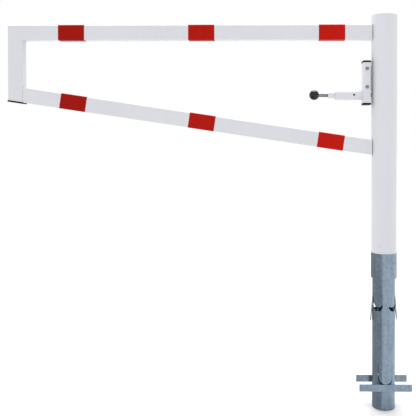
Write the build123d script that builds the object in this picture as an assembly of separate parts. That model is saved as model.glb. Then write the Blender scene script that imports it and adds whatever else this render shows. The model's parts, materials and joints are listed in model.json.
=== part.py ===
from build123d import *
import math
import os

# A barrier gate that swings level across a drive: a post tube turns on a standing tube that is
# set in concrete, and a spring bolt on the post locks the swing.
# Z = 0 is the ground line, at the collar's lower edge. X = Y = 0 is the axis of the swing.
# The arm reaches towards -X, and the front faces -Y. Millimetres, +Z up.

# Standing tube, in the ground and up inside the post
GROUND_R = 45.7
GROUND_WALL = 3.6
GROUND_FOOT_Z = -517.0
GROUND_TOP_Z = 1005.0
FIT_GAP = 0.05          # radial gap of pieces that stay fitted together
RUNNING_GAP = 0.08      # radial gap of pieces that turn or slide in each other

# Anchor tongues, punched out of the standing tube's wall: U-shaped windows with a bent flap
TONGUE_ROOT_OVERLAP = 2.0
TONGUE_THINNING = 0.45  # off each face of the wall, where the punch draws the metal out
UPPER_WINDOW = dict(half_width=22.9, root=-60.0, end=-130.0)
UPPER_FLAP = dict(half_width=22.3, root=-60.0, end=-114.5, bend=4.5)
UPPER_AZIMUTHS = (-135, -45, 45, 135)
BARB_WINDOW = dict(half_width=9.3, root=-68.0, end=-176.0)
BARB_FLAP = dict(half_width=8.0, root=-68.0, end=-174.0, bend=-5.0)
BARB_AZIMUTHS = (-90, 90)
LOWER_WINDOW = dict(half_width=27.6, root=-340.0, end=-420.0)
LOWER_FLAP = dict(half_width=26.2, root=-340.0, end=-412.5, bend=-5.0)
LOWER_AZIMUTHS = (0, 180)

# Collar, thrust ring and anchor bars
COLLAR_R = 52.0
COLLAR_TOP_Z = 100.0
THRUST_THICK = 3.0
BAR_LENGTH = 206.0
BAR_HIGH = 27.0
BAR_THICK = 5.0
BAR_Z = -427.5

# Post
POST_R = 50.8
POST_WALL = 3.6
POST_TOP_Z = 1043.0
POST_FOOT_Z = COLLAR_TOP_Z + THRUST_THICK
BUSH_LENGTH = 60.0
LOWER_BUSH_Z = 105.0
UPPER_BUSH_Z = 940.0
CAP_DISC_THICK = 4.0
CAP_SKIRT_DEEP = 14.0
CAP_SKIRT_WALL = 3.0

# Retaining parts, on top of the standing tube and inside the post
PLUG_TOP_Z = 1003.0
PLUG_THICK = 14.0
BOSS_R = 25.0
BOSS_TOP_Z = 1014.0
STOP_RING_Z = 1008.0
STOP_RING_THICK = 5.0
STOP_RING_BORE_R = 30.0
WASHER_R = 40.0
WASHER_THICK = 4.0
BOLT_R = 8.0
BOLT_FLATS = 24.0
BOLT_HEAD_HIGH = 10.0
BOLT_LENGTH = 34.0

# Arm, of rectangular tube
REACH_X = -1500.0
ARM_HIGH = 60.0
ARM_DEEP = 40.0
ARM_WALL = 3.0
ARM_CORNER_R = 4.0
UPPER_TUBE_Z = 975.0
BRACE_SLOPE = 0.15
BRACE_TOP_AT_END_Z = 757.3
END_CAP_THICK = 5.0
END_CAP_PROUD = 1.5
END_CAP_PLUG_DEEP = 22.0
PLUG_WALL = 2.0

# Red reflective bands
BAND_LENGTH = 104.0
BAND_THICK = 0.7
BAND_CORNER_GAP = 0.2
UPPER_BAND_X = dict(outer=-1246.0, middle=-728.0, inner=-210.0)
LOWER_BAND_X = dict(outer=-1239.0, middle=-726.5, inner=-214.0)

# Latch
LATCH_Z = 727.0
BOX_LEFT_X = -87.0
BOX_RIGHT_X = -57.0
BOX_DEEP = 60.0
BOX_WALL = 3.0
BOX_CORNER_R = 6.0
BOX_LOW_Z = 692.0
BOX_HIGH_Z = 857.0
BOX_CAP_THICK = 5.0
BOX_CAP_PROUD = 0.8
BOX_CAP_PLUG_DEEP = 12.0
LUG_THICK = 10.0
LUG_LEFT_X = -82.0
LUG_LOW_Z = 745.0
LUG_HIGH_Z = 842.0
LUG_SLOT_GAP = 0.5
SCREW_X = -72.0
SCREW_HEIGHTS = (758.0, 830.0)
SCREW_R = 4.0
SCREW_HEAD_R = 7.0
SCREW_HEAD_HIGH = 4.4
SCREW_SOCKET_FLATS = 5.0
SCREW_SOCKET_DEEP = 2.6
SCREW_TAIL_Y = 40.0
SCREW_HOLE_R = 4.3
WASHER_SMALL_R = 8.0
WASHER_SMALL_THICK = 1.6
NUT_FLATS = 13.0
NUT_THICK = 6.5
GUIDE_LEFT_X = -195.5
GUIDE_R = 20.0
GUIDE_WALL = 4.0
PADLOCK_X = -122.0
PADLOCK_HOLE_R = 4.25
SLEEVE_LEFT_X = -224.5
SLEEVE_R = 13.0
SLEEVE_PLUG_X = -188.0
ROD_R = 8.0
ROD_TIP_X = -47.5
ROD_TIP_CHAMFER = 2.0
ROD_TAIL_X = -283.0
ROD_HOLE_R = 8.6        # where the rod only passes through a wall
ROD_TRAVEL = 30.0
LOCK_HOLE_R = 8.5       # in the standing tube, every quarter turn
BUSH_R = 12.0
SPRING_COLLAR_X = -166.0
SPRING_COLLAR_THICK = 6.0
SPRING_COLLAR_R = 15.5
PIN_R = 2.0
PIN_HALF_LENGTH = 15.0
SPRING_MEAN_R = 13.5
SPRING_WIRE_R = 1.25
SPRING_TURNS = 6.0
KNOB_X = -279.0
KNOB_R = 20.0
KNOB_FACE_X = -261.5

# Welds
WELD_GAP = 0.1          # gap from a bead to a round wall beside it
WELD_LEG = 3.0
BEAD_R = 2.4
ROOT_BEAD_R = 1.8       # deep in the crevice between an arm tube and the round post
ROOT_BEAD_Y = 12.0
BEAD_END_GAP = 3.0

FAR = 3000.0            # longer than the object, for cuts that run right through

GROUND_BORE_R = GROUND_R - GROUND_WALL
POST_BORE_R = POST_R - POST_WALL
BRACE_ANGLE = math.degrees(math.atan(BRACE_SLOPE))
BRACE_RISE = ARM_HIGH / math.cos(math.radians(BRACE_ANGLE))
END_TUBE_X = REACH_X + ARM_HIGH / 2
END_TUBE_RIGHT_X = REACH_X + ARM_HIGH
ARM_ROOT_X = -POST_R


def round_tube(outer_r, inner_r, z_low, z_high):
    """A round tube that stands on the Z axis."""
    return Pos(0, 0, z_low) * extrude(Circle(outer_r) - Circle(inner_r), z_high - z_low)


def round_bar(radius, start, end):
    """A round bar from one point to another."""
    span = Vector(*end) - Vector(*start)
    return extrude(Plane(origin=start, z_dir=span) * Circle(radius), span.length)


def block(x_range, y_range, z_range):
    """A box between two limits on each axis."""
    sizes = [high - low for low, high in (x_range, y_range, z_range)]
    middles = [(low + high) / 2 for low, high in (x_range, y_range, z_range)]
    return Pos(*middles) * Box(*sizes)


def round_pipe_x(outer_r, inner_r, x_low, x_high):
    """A round tube along X, on the latch's axis."""
    ring = extrude(Plane.YZ * (Circle(outer_r) - Circle(inner_r)), x_high - x_low)
    return Pos(x_low, 0, LATCH_Z) * ring


def fillet_ring(corner_r, leg_out, leg_along):
    """A three-cornered weld ring on the Z axis, with its square corner at (corner_r, 0)."""
    corners = [(corner_r, 0), (corner_r + leg_out, 0), (corner_r, leg_along)]
    return revolve(Plane.XZ * make_face(Polyline(*corners, close=True)), Axis.Z)


# Standing tube and the pieces fixed to it

def u_prism(half_width, root, end, overlap=0.0):
    """A prism through the front wall, straight at its sides and round at its lower end."""
    arc_z = end + half_width
    wall = (-GROUND_R - 12, -GROUND_R + 24)
    straight = block((-half_width, half_width), wall, (arc_z, root + overlap))
    return straight + round_bar(half_width, (0, wall[0], arc_z), (0, wall[1], arc_z))


def bent_flap(half_width, root, end, bend):
    """A drawn flap of wall that hangs from its root and is bent inwards, or outwards if negative."""
    outer_r, inner_r = GROUND_R - TONGUE_THINNING, GROUND_BORE_R + TONGUE_THINNING
    drawn = round_tube(outer_r, inner_r, GROUND_FOOT_Z, 0)
    flap = drawn & u_prism(half_width, root, end, TONGUE_ROOT_OVERLAP)
    hinge_y = GROUND_R - GROUND_WALL / 2
    return Pos(0, -hinge_y, root) * Rot(bend, 0, 0) * Pos(0, hinge_y, -root) * flap


def ground_tube():
    tongues = (
        (UPPER_WINDOW, UPPER_FLAP, UPPER_AZIMUTHS),
        (BARB_WINDOW, BARB_FLAP, BARB_AZIMUTHS),
        (LOWER_WINDOW, LOWER_FLAP, LOWER_AZIMUTHS),
    )
    tube = round_tube(GROUND_R, GROUND_BORE_R, GROUND_FOOT_Z, GROUND_TOP_Z)
    for window, flap, azimuths in tongues:
        cut = u_prism(**window)
        bent = bent_flap(**flap)
        for azimuth in azimuths:
            tube = tube - Rot(0, 0, azimuth) * cut
            tube = tube + Rot(0, 0, azimuth) * bent
    lock_holes = round_bar(LOCK_HOLE_R, (-FAR, 0, LATCH_Z), (FAR, 0, LATCH_Z))
    lock_holes += round_bar(LOCK_HOLE_R, (0, -FAR, LATCH_Z), (0, FAR, LATCH_Z))
    return tube - lock_holes


def collar():
    return round_tube(COLLAR_R, GROUND_R + FIT_GAP, 0, COLLAR_TOP_Z)


def thrust_ring():
    return round_tube(POST_R, GROUND_R + FIT_GAP, COLLAR_TOP_Z, POST_FOOT_Z)


def anchor_bar(side):
    """A flat bar across the tube's front (side -1) or rear (side 1)."""
    faces = sorted((side * GROUND_R, side * (GROUND_R + BAR_THICK)))
    span = (-BAR_LENGTH / 2, BAR_LENGTH / 2)
    return block(span, faces, (BAR_Z - BAR_HIGH / 2, BAR_Z + BAR_HIGH / 2))


def top_plug():
    disc = round_tube(GROUND_BORE_R - FIT_GAP, BOLT_R, PLUG_TOP_Z - PLUG_THICK, PLUG_TOP_Z)
    return disc + round_tube(BOSS_R, BOLT_R, PLUG_TOP_Z, BOSS_TOP_Z)


def retaining_washer():
    return round_tube(WASHER_R, BOLT_R + 0.5, BOSS_TOP_Z, BOSS_TOP_Z + WASHER_THICK)


def retaining_bolt():
    head_z = BOSS_TOP_Z + WASHER_THICK
    head = extrude(RegularPolygon(BOLT_FLATS / 2, 6, major_radius=False), BOLT_HEAD_HIGH)
    shank = round_bar(BOLT_R - FIT_GAP, (0, 0, head_z - BOLT_LENGTH), (0, 0, head_z))
    return Pos(0, 0, head_z) * head + shank


def ground_welds():
    """Beads round the collar's lower edge and the plug's top, and behind the anchor bars."""
    welds = fillet_ring(GROUND_R + WELD_GAP, WELD_LEG, -WELD_LEG)
    welds += Pos(0, 0, PLUG_TOP_Z) * fillet_ring(GROUND_BORE_R - WELD_GAP, -2, 2)
    wall = round_bar(GROUND_R + WELD_GAP, (0, 0, GROUND_FOOT_Z), (0, 0, 0))
    bar_x = 13.0
    for side in (-1, 1):
        bar = anchor_bar(side)
        for x in (-bar_x, bar_x):
            low = (x, side * (GROUND_R - 0.6), BAR_Z - BAR_HIGH / 2)
            high = (x, side * (GROUND_R - 0.6), BAR_Z + BAR_HIGH / 2)
            welds += round_bar(BEAD_R, low, high) - wall - bar
    return welds


# Post and the pieces inside it

def post_tube():
    tube = round_tube(POST_R, POST_BORE_R, POST_FOOT_Z, POST_TOP_Z)
    return tube - round_bar(ROD_HOLE_R, (-FAR, 0, LATCH_Z), (0, 0, LATCH_Z))


def post_cap():
    cap_r = POST_BORE_R - FIT_GAP
    disc_z = POST_TOP_Z - CAP_DISC_THICK
    disc = round_bar(cap_r, (0, 0, disc_z), (0, 0, POST_TOP_Z))
    return disc + round_tube(cap_r, cap_r - CAP_SKIRT_WALL, POST_TOP_Z - CAP_SKIRT_DEEP, disc_z)


def stop_ring():
    z_high = STOP_RING_Z + STOP_RING_THICK
    return round_tube(POST_BORE_R - FIT_GAP, STOP_RING_BORE_R, STOP_RING_Z, z_high)


def swing_bush(z_low):
    return round_tube(POST_BORE_R - FIT_GAP, GROUND_R + RUNNING_GAP, z_low, z_low + BUSH_LENGTH)


# Arm

def arm_section(grow=0.0, corner_r=ARM_CORNER_R):
    """The arm tube's outline, its height along local Y, grown on all sides."""
    return RectangleRounded(ARM_DEEP + 2 * grow, ARM_HIGH + 2 * grow, corner_r)


def arm_profile():
    return arm_section() - arm_section(-ARM_WALL, ARM_CORNER_R - ARM_WALL)


def brace_middle_z(x):
    """Height of the brace's centre line, which falls towards the post."""
    return BRACE_TOP_AT_END_Z - BRACE_RISE / 2 - BRACE_SLOPE * (x - END_TUBE_RIGHT_X)


def brace_place(x):
    """Where the brace's centre line is at x, turned to its slope."""
    return Pos(x, 0, brace_middle_z(x)) * Rot(0, BRACE_ANGLE, 0)


def mitre_half():
    """The space above and to the right of the mitre at the arm's upper outer corner."""
    corner_z = UPPER_TUBE_Z + ARM_HIGH / 2
    return Pos(REACH_X, 0, corner_z) * Rot(0, 45, 0) * block((-FAR, FAR), (-FAR, FAR), (0, FAR))


def upper_tube():
    length = ARM_ROOT_X - REACH_X
    tube = Pos(REACH_X, 0, UPPER_TUBE_Z) * extrude(Plane.YZ * arm_profile(), length)
    return tube & mitre_half()


def brace():
    middle_x = (END_TUBE_RIGHT_X + ARM_ROOT_X) / 2
    raw_half = (ARM_ROOT_X - END_TUBE_RIGHT_X) / 2 + ARM_HIGH
    tube = brace_place(middle_x) * Pos(-raw_half, 0, 0)
    tube = tube * extrude(Plane.YZ * arm_profile(), 2 * raw_half)
    return tube & block((END_TUBE_RIGHT_X, ARM_ROOT_X), (-FAR, FAR), (-FAR, FAR))


def below_end_cut():
    """The space below the end tube's foot, which is cut level with the brace's lower edge."""
    foot_z = brace_middle_z(END_TUBE_X) - BRACE_RISE / 2
    return Pos(END_TUBE_X, 0, foot_z) * Rot(0, BRACE_ANGLE, 0) * block(
        (-FAR, FAR), (-FAR, FAR), (-FAR, 0)
    )


def end_tube():
    top_z = UPPER_TUBE_Z + ARM_HIGH / 2
    tube = Pos(END_TUBE_X, 0, 0) * extrude(Rot(0, 0, 90) * arm_profile(), top_z)
    return tube - mitre_half() - below_end_cut()


def arm_end_cap():
    """A plastic cap: a flange on the sloping foot of the end tube, and a hollow plug inside."""
    foot_z = brace_middle_z(END_TUBE_X) - BRACE_RISE / 2
    flange_x = BRACE_RISE + 2 * END_CAP_PROUD
    flange_y = ARM_DEEP + 2 * END_CAP_PROUD
    flange = extrude(RectangleRounded(flange_x, flange_y, ARM_CORNER_R), -END_CAP_THICK)
    flange = Pos(END_TUBE_X, 0, foot_z) * Rot(0, BRACE_ANGLE, 0) * flange
    plug_grow = -ARM_WALL - FIT_GAP
    ring = arm_section(plug_grow, 1.0) - arm_section(plug_grow - PLUG_WALL, 0.5)
    plug = extrude(Rot(0, 0, 90) * ring, 2 * END_CAP_PLUG_DEEP)
    plug = Pos(END_TUBE_X, 0, foot_z - END_CAP_PLUG_DEEP) * plug - below_end_cut()
    return flange + plug


def band_sleeve():
    """A sleeve of film round the arm tube, along X and centred on the origin."""
    inner = arm_section(0, ARM_CORNER_R - BAND_CORNER_GAP)
    ring = arm_section(BAND_THICK, ARM_CORNER_R + BAND_THICK) - inner
    return Pos(-BAND_LENGTH / 2, 0, 0) * extrude(Plane.YZ * ring, BAND_LENGTH)


def root_beads(low_z, high_z):
    """Beads where an arm tube meets the post: two upright, one across the top, one below."""
    post = round_bar(POST_R + WELD_GAP, (0, 0, 0), (0, 0, POST_TOP_Z))
    beads = []
    for y in (-ROOT_BEAD_Y, ROOT_BEAD_Y):
        low = (ARM_ROOT_X + 0.8, y, low_z + BEAD_END_GAP)
        high = (ARM_ROOT_X + 0.8, y, high_z - BEAD_END_GAP)
        beads.append(round_bar(ROOT_BEAD_R, low, high))
    for z in (low_z, high_z):
        beads.append(round_bar(BEAD_R, (ARM_ROOT_X, -ROOT_BEAD_Y, z), (ARM_ROOT_X, ROOT_BEAD_Y, z)))
    return [bead - post for bead in beads]


def seam_fillers():
    """Flush welds in the grooves that the end tube's rounded corners leave beside the brace."""
    corner_x = END_TUBE_RIGHT_X - ARM_CORNER_R
    low_z = BRACE_TOP_AT_END_Z - BRACE_RISE + 1.5 * ARM_CORNER_R
    high_z = BRACE_TOP_AT_END_Z - 1.5 * ARM_CORNER_R
    fillers = []
    for side in (-1, 1):
        corner_y = side * (ARM_DEEP / 2 - ARM_CORNER_R)
        y_range = sorted((corner_y, side * ARM_DEEP / 2))
        groove = block((corner_x, END_TUBE_RIGHT_X), y_range, (low_z, high_z))
        corner = round_bar(
            ARM_CORNER_R + WELD_GAP, (corner_x, corner_y, 0), (corner_x, corner_y, UPPER_TUBE_Z)
        )
        fillers.append(groove - corner)
    return fillers


def arm_welds():
    """Beads at the arm's roots and in the inner corners of the end tube, and two flush seams."""
    brace_root_z = brace_middle_z(ARM_ROOT_X)
    beads = root_beads(UPPER_TUBE_Z - ARM_HIGH / 2, UPPER_TUBE_Z + ARM_HIGH / 2)
    beads += root_beads(brace_root_z - BRACE_RISE / 2, brace_root_z + BRACE_RISE / 2)
    corner_y = ARM_DEEP / 2 - ARM_CORNER_R
    for z in (UPPER_TUBE_Z - ARM_HIGH / 2, BRACE_TOP_AT_END_Z):
        start = (END_TUBE_RIGHT_X, -corner_y, z)
        beads.append(round_bar(BEAD_R, start, (END_TUBE_RIGHT_X, corner_y, z)))
    solid_upper = block(
        (REACH_X, ARM_ROOT_X),
        (-ARM_DEEP, ARM_DEEP),
        (UPPER_TUBE_Z - ARM_HIGH / 2, UPPER_TUBE_Z + ARM_HIGH / 2),
    )
    solid_end = block((REACH_X, END_TUBE_RIGHT_X), (-ARM_DEEP, ARM_DEEP), (0, UPPER_TUBE_Z))
    solid_brace = brace_place(END_TUBE_X) * block(
        (0, FAR), (-ARM_DEEP, ARM_DEEP), (-ARM_HIGH / 2, ARM_HIGH / 2)
    ) & block((END_TUBE_RIGHT_X, ARM_ROOT_X), (-FAR, FAR), (0, FAR))
    welds = [bead - solid_upper - solid_end - solid_brace for bead in beads] + seam_fillers()
    return Compound(children=[solid for weld in welds for solid in weld.solids()])


# Latch

def box_section(grow=0.0, corner_r=BOX_CORNER_R):
    """The latch box's outline, seen from above."""
    width = BOX_RIGHT_X - BOX_LEFT_X
    middle_x = (BOX_RIGHT_X + BOX_LEFT_X) / 2
    return Pos(middle_x, 0) * RectangleRounded(width + 2 * grow, BOX_DEEP + 2 * grow, corner_r)


def latch_box():
    profile = box_section() - box_section(-BOX_WALL, BOX_CORNER_R - BOX_WALL)
    box = Pos(0, 0, BOX_LOW_Z) * extrude(profile, BOX_HIGH_Z - BOX_LOW_Z)
    box -= round_bar(ROD_HOLE_R, (-FAR, 0, LATCH_Z), (0, 0, LATCH_Z))
    for z in SCREW_HEIGHTS:
        box -= round_bar(SCREW_HOLE_R, (SCREW_X, -FAR, z), (SCREW_X, FAR, z))
    half_slot = LUG_THICK / 2 + LUG_SLOT_GAP
    slot_z = (LUG_LOW_Z - LUG_SLOT_GAP, LUG_HIGH_Z + LUG_SLOT_GAP)
    return box - block((BOX_RIGHT_X - 2 * BOX_WALL, 0), (-half_slot, half_slot), slot_z)


def latch_lug():
    y_range = (-LUG_THICK / 2, LUG_THICK / 2)
    lug = block((LUG_LEFT_X, -POST_R), y_range, (LUG_LOW_Z, LUG_HIGH_Z))
    for z in SCREW_HEIGHTS:
        lug -= round_bar(SCREW_HOLE_R, (SCREW_X, -FAR, z), (SCREW_X, FAR, z))
    return lug


def box_cap(seat_z, side):
    """A plastic cap on the box's upper (side 1) or lower (side -1) end, with a hollow plug."""
    flange = extrude(box_section(BOX_CAP_PROUD, BOX_CORNER_R + BOX_CAP_PROUD), side * BOX_CAP_THICK)
    plug_grow = -BOX_WALL - FIT_GAP
    corner_r = BOX_CORNER_R - BOX_WALL
    ring = box_section(plug_grow, corner_r) - box_section(plug_grow - PLUG_WALL, corner_r - 1)
    return Pos(0, 0, seat_z) * (flange + extrude(ring, -side * BOX_CAP_PLUG_DEEP))


def screws_at(piece):
    """The piece once at each screw height, as separate solids."""
    return Compound(children=[Pos(SCREW_X, 0, z) * piece for z in SCREW_HEIGHTS])


def box_screws():
    """Button-head screws from the front, with hexagon sockets."""
    front_y = -BOX_DEEP / 2
    head = Cylinder(SCREW_HEAD_R, SCREW_HEAD_HIGH)
    head = fillet(head.edges().sort_by(Axis.Z)[-1:], SCREW_HEAD_HIGH - 1.2)
    socket = extrude(
        Pos(0, 0, SCREW_HEAD_HIGH / 2)
        * RegularPolygon(SCREW_SOCKET_FLATS / 2, 6, major_radius=False),
        -SCREW_SOCKET_DEEP,
    )
    head = Pos(0, front_y - SCREW_HEAD_HIGH / 2, 0) * Rot(90, 0, 0) * (head - socket)
    shank = round_bar(SCREW_R - FIT_GAP, (0, front_y, 0), (0, SCREW_TAIL_Y, 0))
    return screws_at(head + shank)


def box_washers():
    rear_y = BOX_DEEP / 2
    ring = round_bar(WASHER_SMALL_R, (0, rear_y, 0), (0, rear_y + WASHER_SMALL_THICK, 0))
    return screws_at(ring - round_bar(SCREW_HOLE_R, (0, 0, 0), (0, FAR, 0)))


def box_nuts():
    seat_y = BOX_DEEP / 2 + WASHER_SMALL_THICK
    hexagon = RegularPolygon(NUT_FLATS / 2, 6, major_radius=False) - Circle(SCREW_R)
    return screws_at(Pos(0, seat_y, 0) * Rot(-90, 0, 0) * extrude(hexagon, NUT_THICK))


def guide_tube():
    guide = round_pipe_x(GUIDE_R, GUIDE_R - GUIDE_WALL, GUIDE_LEFT_X, BOX_LEFT_X)
    return guide - round_bar(
        PADLOCK_HOLE_R, (PADLOCK_X, -FAR, LATCH_Z), (PADLOCK_X, FAR, LATCH_Z)
    )


def guide_sleeve():
    bore_r = ROD_R + RUNNING_GAP
    plug_r = GUIDE_R - GUIDE_WALL - FIT_GAP
    sleeve = round_pipe_x(SLEEVE_R, bore_r, SLEEVE_LEFT_X, GUIDE_LEFT_X)
    return sleeve + round_pipe_x(plug_r, bore_r, GUIDE_LEFT_X, SLEEVE_PLUG_X)


def bolt_bush():
    return round_pipe_x(
        BUSH_R, ROD_R + RUNNING_GAP, BOX_LEFT_X + BOX_WALL, BOX_RIGHT_X - BOX_WALL
    )


def latch_spring():
    """A round-wire coil between the sleeve's plug and the collar on the rod."""
    length = SPRING_COLLAR_X - SLEEVE_PLUG_X - 2 * SPRING_WIRE_R
    coil = Helix(length / SPRING_TURNS, length, SPRING_MEAN_R)
    wire = sweep(Plane(coil ^ 0) * Circle(SPRING_WIRE_R), path=coil, is_frenet=True)
    return Pos(SLEEVE_PLUG_X + SPRING_WIRE_R, 0, LATCH_Z) * Rot(0, 90, 0) * wire


def latch_welds():
    """Rings where the guide meets the box and the sleeve, and beads beside the lug."""
    to_x = Rot(0, 90, 0)
    box_ring = fillet_ring(GUIDE_R + WELD_GAP, WELD_LEG, -WELD_LEG)
    sleeve_ring = fillet_ring(SLEEVE_R + WELD_GAP, 2, -2)
    welds = Pos(BOX_LEFT_X, 0, LATCH_Z) * to_x * box_ring
    welds += Pos(GUIDE_LEFT_X, 0, LATCH_Z) * to_x * sleeve_ring
    post = round_bar(POST_R + WELD_GAP, (0, 0, 0), (0, 0, POST_TOP_Z))
    lug = block((-FAR, 0), (-LUG_THICK / 2, LUG_THICK / 2), (LUG_LOW_Z, LUG_HIGH_Z))
    for side in (-1, 1):
        y = side * (LUG_THICK / 2 + 1)
        low = (-POST_R - 0.5, y, LUG_LOW_Z + BEAD_END_GAP)
        high = (-POST_R - 0.5, y, LUG_HIGH_Z - BEAD_END_GAP)
        welds += round_bar(BEAD_R, low, high) - post - lug
    return welds


# Sliding bolt

def lock_rod():
    rod = round_bar(ROD_R, (ROD_TAIL_X, 0, LATCH_Z), (ROD_TIP_X, 0, LATCH_Z))
    rod = chamfer(rod.edges().sort_by(Axis.X)[-1:], ROD_TIP_CHAMFER)
    hole_x = PADLOCK_X - ROD_TRAVEL
    rod -= round_bar(PADLOCK_HOLE_R, (hole_x, -FAR, LATCH_Z), (hole_x, FAR, LATCH_Z))
    pin_x = SPRING_COLLAR_X + SPRING_COLLAR_THICK / 2
    return rod - round_bar(PIN_R, (pin_x, 0, 0), (pin_x, 0, POST_TOP_Z))


def spring_collar():
    right_x = SPRING_COLLAR_X + SPRING_COLLAR_THICK
    ring = round_pipe_x(SPRING_COLLAR_R, ROD_R + FIT_GAP, SPRING_COLLAR_X, right_x)
    pin_x = SPRING_COLLAR_X + SPRING_COLLAR_THICK / 2
    return ring - round_bar(PIN_R, (pin_x, 0, 0), (pin_x, 0, POST_TOP_Z))


def roll_pin():
    pin_x = SPRING_COLLAR_X + SPRING_COLLAR_THICK / 2
    low = (pin_x, 0, LATCH_Z - PIN_HALF_LENGTH)
    return round_bar(PIN_R - FIT_GAP, low, (pin_x, 0, LATCH_Z + PIN_HALF_LENGTH))


def ball_knob():
    ball = Pos(KNOB_X, 0, LATCH_Z) * Sphere(KNOB_R)
    ball -= block((KNOB_FACE_X, 0), (-FAR, FAR), (-FAR, FAR))
    return ball - round_bar(ROD_R + FIT_GAP, (ROD_TAIL_X, 0, LATCH_Z), (0, 0, LATCH_Z))


def all_parts():
    """Every node's name and shape."""
    parts = {
        "ground_tube": ground_tube(),
        "collar": collar(),
        "thrust_ring": thrust_ring(),
        "front_anchor_bar": anchor_bar(-1),
        "rear_anchor_bar": anchor_bar(1),
        "top_plug": top_plug(),
        "retaining_washer": retaining_washer(),
        "retaining_bolt": retaining_bolt(),
        "ground_welds": ground_welds(),
        "post_tube": post_tube(),
        "post_cap": post_cap(),
        "stop_ring": stop_ring(),
        "lower_bush": swing_bush(LOWER_BUSH_Z),
        "upper_bush": swing_bush(UPPER_BUSH_Z),
        "upper_tube": upper_tube(),
        "brace": brace(),
        "end_tube": end_tube(),
        "arm_end_cap": arm_end_cap(),
        "arm_welds": arm_welds(),
        "latch_lug": latch_lug(),
        "latch_box": latch_box(),
        "box_cap_top": box_cap(BOX_HIGH_Z, 1),
        "box_cap_bottom": box_cap(BOX_LOW_Z, -1),
        "box_screws": box_screws(),
        "box_nuts": box_nuts(),
        "box_washers": box_washers(),
        "guide_tube": guide_tube(),
        "guide_sleeve": guide_sleeve(),
        "bolt_bush": bolt_bush(),
        "latch_spring": latch_spring(),
        "latch_welds": latch_welds(),
        "lock_rod": lock_rod(),
        "spring_collar": spring_collar(),
        "roll_pin": roll_pin(),
        "ball_knob": ball_knob(),
    }
    for place, x in UPPER_BAND_X.items():
        parts[f"band_upper_{place}"] = Pos(x, 0, UPPER_TUBE_Z) * band_sleeve()
    for place, x in LOWER_BAND_X.items():
        parts[f"band_lower_{place}"] = brace_place(x) * band_sleeve()
    return parts


os.makedirs("parts", exist_ok=True)
for name, shape in all_parts().items():
    export_step(shape, f"parts/{name}.step")
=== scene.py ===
import json
import math

import bmesh
import bpy
from mathutils import Matrix, Vector


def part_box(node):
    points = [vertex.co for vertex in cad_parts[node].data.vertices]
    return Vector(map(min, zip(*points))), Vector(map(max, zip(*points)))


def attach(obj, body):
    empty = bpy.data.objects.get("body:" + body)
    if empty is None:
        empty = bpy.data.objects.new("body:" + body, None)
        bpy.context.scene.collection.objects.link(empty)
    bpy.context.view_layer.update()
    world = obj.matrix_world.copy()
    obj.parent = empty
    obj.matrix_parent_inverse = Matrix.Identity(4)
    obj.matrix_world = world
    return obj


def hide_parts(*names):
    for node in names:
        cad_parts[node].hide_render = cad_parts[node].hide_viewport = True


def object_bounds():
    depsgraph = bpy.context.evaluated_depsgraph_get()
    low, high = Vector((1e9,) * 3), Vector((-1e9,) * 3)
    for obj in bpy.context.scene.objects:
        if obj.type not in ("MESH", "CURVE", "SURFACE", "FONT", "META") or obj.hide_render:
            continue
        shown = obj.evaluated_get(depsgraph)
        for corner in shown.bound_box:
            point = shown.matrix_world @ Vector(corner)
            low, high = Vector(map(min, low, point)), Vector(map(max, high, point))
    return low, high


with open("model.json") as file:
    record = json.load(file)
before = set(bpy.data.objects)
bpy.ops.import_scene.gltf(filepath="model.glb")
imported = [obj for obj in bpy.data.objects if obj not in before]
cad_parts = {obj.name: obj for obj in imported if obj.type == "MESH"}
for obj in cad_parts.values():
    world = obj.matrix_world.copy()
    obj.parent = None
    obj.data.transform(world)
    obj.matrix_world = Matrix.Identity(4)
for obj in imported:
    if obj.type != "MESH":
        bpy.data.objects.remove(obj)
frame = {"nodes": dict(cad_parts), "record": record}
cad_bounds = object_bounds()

MM = 0.001

nodes = frame["nodes"]


# ---------------------------------------------------------------- shader recipes

class Level:
    """A number in a recipe. Sums on it add Math nodes."""

    def __init__(self, recipe, socket):
        self.recipe = recipe
        self.socket = socket

    def math(self, operation, *numbers):
        made = self.recipe.node("ShaderNodeMath", {"operation": operation}, dict(enumerate(numbers)))
        return Level(self.recipe, made.outputs[0])

    def __add__(self, other):
        return self.math("ADD", self, other)

    def __radd__(self, other):
        return self.math("ADD", other, self)

    def __sub__(self, other):
        return self.math("SUBTRACT", self, other)

    def __rsub__(self, other):
        return self.math("SUBTRACT", other, self)

    def __mul__(self, other):
        return self.math("MULTIPLY", self, other)

    def __rmul__(self, other):
        return self.math("MULTIPLY", other, self)

    def clamp(self):
        return self.math("MINIMUM", self.math("MAXIMUM", self, 0.0), 1.0)

    def share_of(self, whole):
        """How far this is through the current whole, from 0 to 1."""
        return self.math("FRACT", self.math("DIVIDE", self, whole))


class Graph:
    """A node tree that is written out in Python."""

    def __init__(self, tree):
        self.tree = tree

    def node(self, kind, settings=None, values=None):
        """A node of the given type: its settings first, then its sockets' values or links."""
        made = self.tree.nodes.new(kind)
        for key, value in (settings or {}).items():
            setattr(made, key, value)
        for key, value in (values or {}).items():
            self.feed(made.inputs[key], value)
        return made

    def feed(self, socket, value):
        if isinstance(value, Level):
            value = value.socket
        if isinstance(value, bpy.types.NodeSocket):
            self.tree.links.new(value, socket)
        elif isinstance(value, tuple) and len(value) == 3 and socket.type == "RGBA":
            socket.default_value = (*value, 1)
        else:
            socket.default_value = value


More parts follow.
